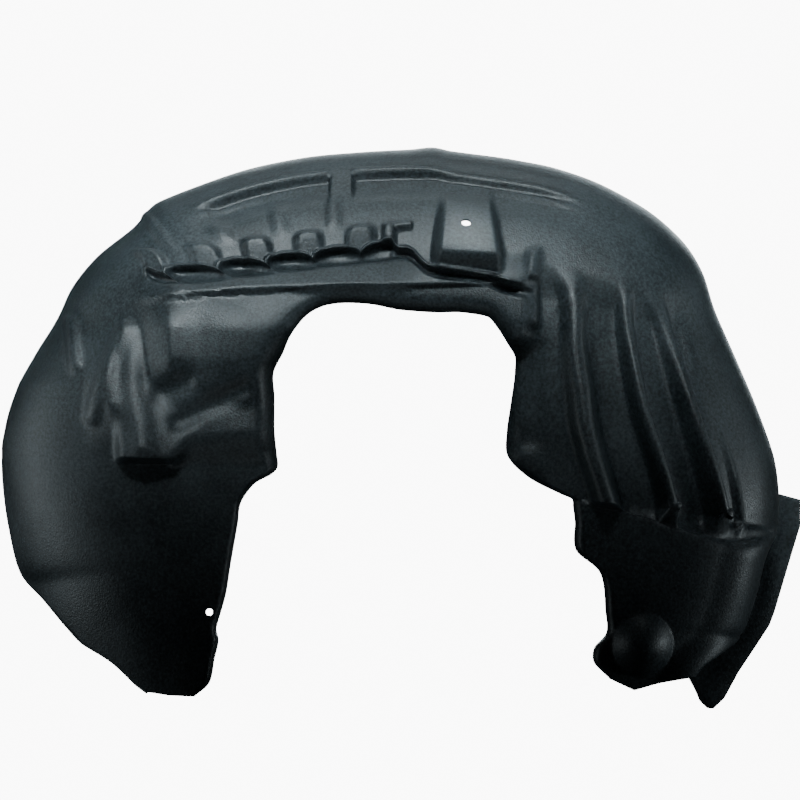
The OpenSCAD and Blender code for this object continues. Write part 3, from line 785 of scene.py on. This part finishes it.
def moulded_plastic():
    material = bpy.data.materials.new("black_plastic")
    material.use_nodes = True
    tree = material.node_tree
    shader = tree.nodes["Principled BSDF"]
    shader.inputs["Specular IOR Level"].default_value = 0.5
    place = tree.nodes.new("ShaderNodeTexCoord")

    clouds = add_node(tree, "ShaderNodeTexNoise", Scale=14.0, Detail=4.0, Roughness=0.55)
    grain = add_node(tree, "ShaderNodeTexNoise", Scale=420.0, Detail=2.0, Roughness=0.6)
    cells = add_node(tree, "ShaderNodeTexVoronoi", Scale=560.0)
    speckle = add_node(tree, "ShaderNodeTexNoise", Scale=360.0, Detail=1.0, Roughness=0.5)
    for pattern in (clouds, grain, cells, speckle):
        tree.links.new(place.outputs["Object"], pattern.inputs["Vector"])

    dust = tree.nodes.new("ShaderNodeMath")
    dust.operation = "MULTIPLY_ADD"
    dust.inputs[1].default_value = DUST_SPECKLE
    tree.links.new(speckle.outputs["Fac"], dust.inputs[0])
    tree.links.new(clouds.outputs["Fac"], dust.inputs[2])
    tone = add_node(tree, "ShaderNodeMapRange", From_Min=0.95, From_Max=1.75)
    tree.links.new(dust.outputs["Value"], tone.inputs["Value"])
    colour = tree.nodes.new("ShaderNodeMix")
    colour.data_type = "RGBA"  # sockets 6 and 7 are then its two colours, and output 2 their mix
    colour.inputs[6].default_value = PLASTIC_DARK
    colour.inputs[7].default_value = PLASTIC_BLOOM
    tree.links.new(tone.outputs["Result"], colour.inputs[0])
    tree.links.new(colour.outputs[2], shader.inputs["Base Color"])

    gloss = add_node(tree, "ShaderNodeMapRange",
                     From_Min=0.3, From_Max=0.7, To_Min=0.41, To_Max=0.55)
    tree.links.new(clouds.outputs["Fac"], gloss.inputs["Value"])
    tree.links.new(gloss.outputs["Result"], shader.inputs["Roughness"])

    fine = add_node(tree, "ShaderNodeBump", Strength=0.4, Distance=0.0004)
    coarse = add_node(tree, "ShaderNodeBump", Strength=0.4, Distance=0.0005)
    tree.links.new(cells.outputs["Distance"], fine.inputs["Height"])
    tree.links.new(grain.outputs["Fac"], coarse.inputs["Height"])
    tree.links.new(fine.outputs["Normal"], coarse.inputs["Normal"])
    tree.links.new(coarse.outputs["Normal"], shader.inputs["Normal"])
    return material


plastic = moulded_plastic()
shell.data.materials.clear()
shell.data.materials.append(plastic)
print("plastic nodes:", len(plastic.node_tree.nodes))

# %% [markdown]
# A product photographer lights black plastic by what it reflects: bright sheets above and
# at the sides, and almost nothing in front. Faces that look at the camera then stay nearly
# black, and every shoulder, rib and rounded edge picks up a soft light line. A few narrow
# lamps with a small spread, like lamps with a grid, lift only the crown, the fan, the ribs
# and the clip box.

# %% Lights
LAMP_TINT, LINER = (0.84, 0.96, 1.0), (0.0, 0.0, 0.3)
LAMPS = [  # name, place, width, height, watts, aimed at, spread in degrees
    ("top_sheet", (0.0, 0.0, 2.2), 1.6, 0.8, 6.5, LINER, 180),
    ("back_sheet", (0.0, 0.7, 2.0), 1.6, 0.8, 6.5, LINER, 180),
    ("left_sheet", (-2.2, 0.2, 0.7), 1.0, 1.0, 7.5, LINER, 180),
    ("right_sheet", (2.2, 0.2, 0.7), 1.0, 1.0, 3.5, LINER, 180),
    ("low_left", (-1.6, -0.15, 0.12), 0.6, 0.2, 4.2, (-0.3, 0.0, 0.05), 180),
    ("low_right", (1.6, -0.25, 0.12), 0.6, 0.2, 5.0, (0.3, 0.0, 0.05), 180),
    ("wheel_side", (0.3, 2.4, 1.0), 1.6, 1.2, 32.0, LINER, 180),
    ("crown_strip", (-0.1, -1.05, 1.5), 1.7, 0.10, 0.9, (0.0, 0.0, 0.62), 26),
    ("left_strip", (-0.5, -1.05, 1.3), 0.4, 0.1, 0.55, (-0.22, 0.0, 0.40), 22),
    ("right_strip", (0.3, -1.05, 1.3), 0.4, 0.1, 0.42, (0.22, 0.0, 0.42), 22),
    ("box_spot", (0.11, -0.16, 1.50), 0.05, 0.05, 0.016, (0.066, -0.130, 0.455), 5),
    ("floor_bounce", (0.0, -0.30, 0.03), 0.6, 0.2, 0.04, (0.0, 0.0, 0.50), 60),
]


def soft_light(name, place, width, height, watts, at, spread):
    data = bpy.data.lights.new(name, "AREA")
    data.shape, data.color, data.spread = "RECTANGLE", LAMP_TINT, math.radians(spread)
    data.size, data.size_y, data.energy = width, height, watts
    lamp = bpy.data.objects.new(name, data)
    bpy.context.collection.objects.link(lamp)
    lamp.location = place
    aim(lamp, at)


for row in LAMPS:
    soft_light(*row)
print("lights:", len(LAMPS))

# %% [markdown]
# The floor is a pale round stage: flat under the part, then curving up to a wall on every
# side, with room for the camera inside it, so the part can be looked at from anywhere. It is
# seen plain white but throws little light back, as the white of a catalogue page does.

# %% Floor and backdrop
FLOOR_SEEN, FLOOR_LIT = 10.0, 0.01
FLOOR_R, RIM_R, WALL_H, STAGE_SIDES, RIM_STEPS = 28.0, 2.0, 8.0, 64, 6


def shadeless(name, seen, lit):
    """Pale to the camera, and only faintly lit for everything else."""
    material = bpy.data.materials.new(name)
    material.use_nodes = True
    tree = material.node_tree
    tree.nodes.clear()
    path = tree.nodes.new("ShaderNodeLightPath")
    bright = add_node(tree, "ShaderNodeEmission", Color=(1.0, 1.0, 1.0, 1.0), Strength=seen)
    plain = add_node(tree, "ShaderNodeEmission", Color=(1.0, 1.0, 1.0, 1.0), Strength=lit)
    mix = tree.nodes.new("ShaderNodeMixShader")
    out = tree.nodes.new("ShaderNodeOutputMaterial")
    tree.links.new(path.outputs["Is Camera Ray"], mix.inputs["Fac"])
    tree.links.new(plain.outputs["Emission"], mix.inputs[1])
    tree.links.new(bright.outputs["Emission"], mix.inputs[2])
    tree.links.new(mix.outputs["Shader"], out.inputs["Surface"])
    return material


def round_stage():
    """A disc whose rim is pulled out and up, step by step, and then straight up."""
    bm = bmesh.new()
    bmesh.ops.create_circle(bm, cap_ends=True, radius=FLOOR_R, segments=STAGE_SIDES)
    turns = [math.pi / 2 * k / RIM_STEPS for k in range(RIM_STEPS + 1)]
    steps = [(RIM_R * math.sin(turn), RIM_R * (1 - math.cos(turn))) for turn in turns]
    steps.append((RIM_R, WALL_H))
    for (out, up), (next_out, next_up) in zip(steps, steps[1:]):
        rim = [e for e in bm.edges if e.is_boundary]
        grown = bmesh.ops.extrude_edge_only(bm, edges=rim)["geom"]
        verts = [part for part in grown if isinstance(part, bmesh.types.BMVert)]
        wider = (FLOOR_R + next_out) / (FLOOR_R + out)
        bmesh.ops.scale(bm, vec=(wider, wider, 1.0), verts=verts)
        bmesh.ops.translate(bm, vec=(0.0, 0.0, next_up - up), verts=verts)
    mesh = bpy.data.meshes.new("floor")
    bm.to_mesh(mesh)
    bm.free()
    floor = bpy.data.objects.new("floor", mesh)
    bpy.context.collection.objects.link(floor)
    return floor


floor = round_stage()
floor.data.materials.append(shadeless("pale_floor", FLOOR_SEEN, FLOOR_LIT))
world = bpy.data.worlds.new("studio")
world.use_nodes = True
background = world.node_tree.nodes["Background"]
background.inputs["Color"].default_value = (1.0, 1.0, 1.0, 1.0)
background.inputs["Strength"].default_value = FLOOR_LIT
bpy.context.scene.world = world
print("floor faces:", len(floor.data.polygons))
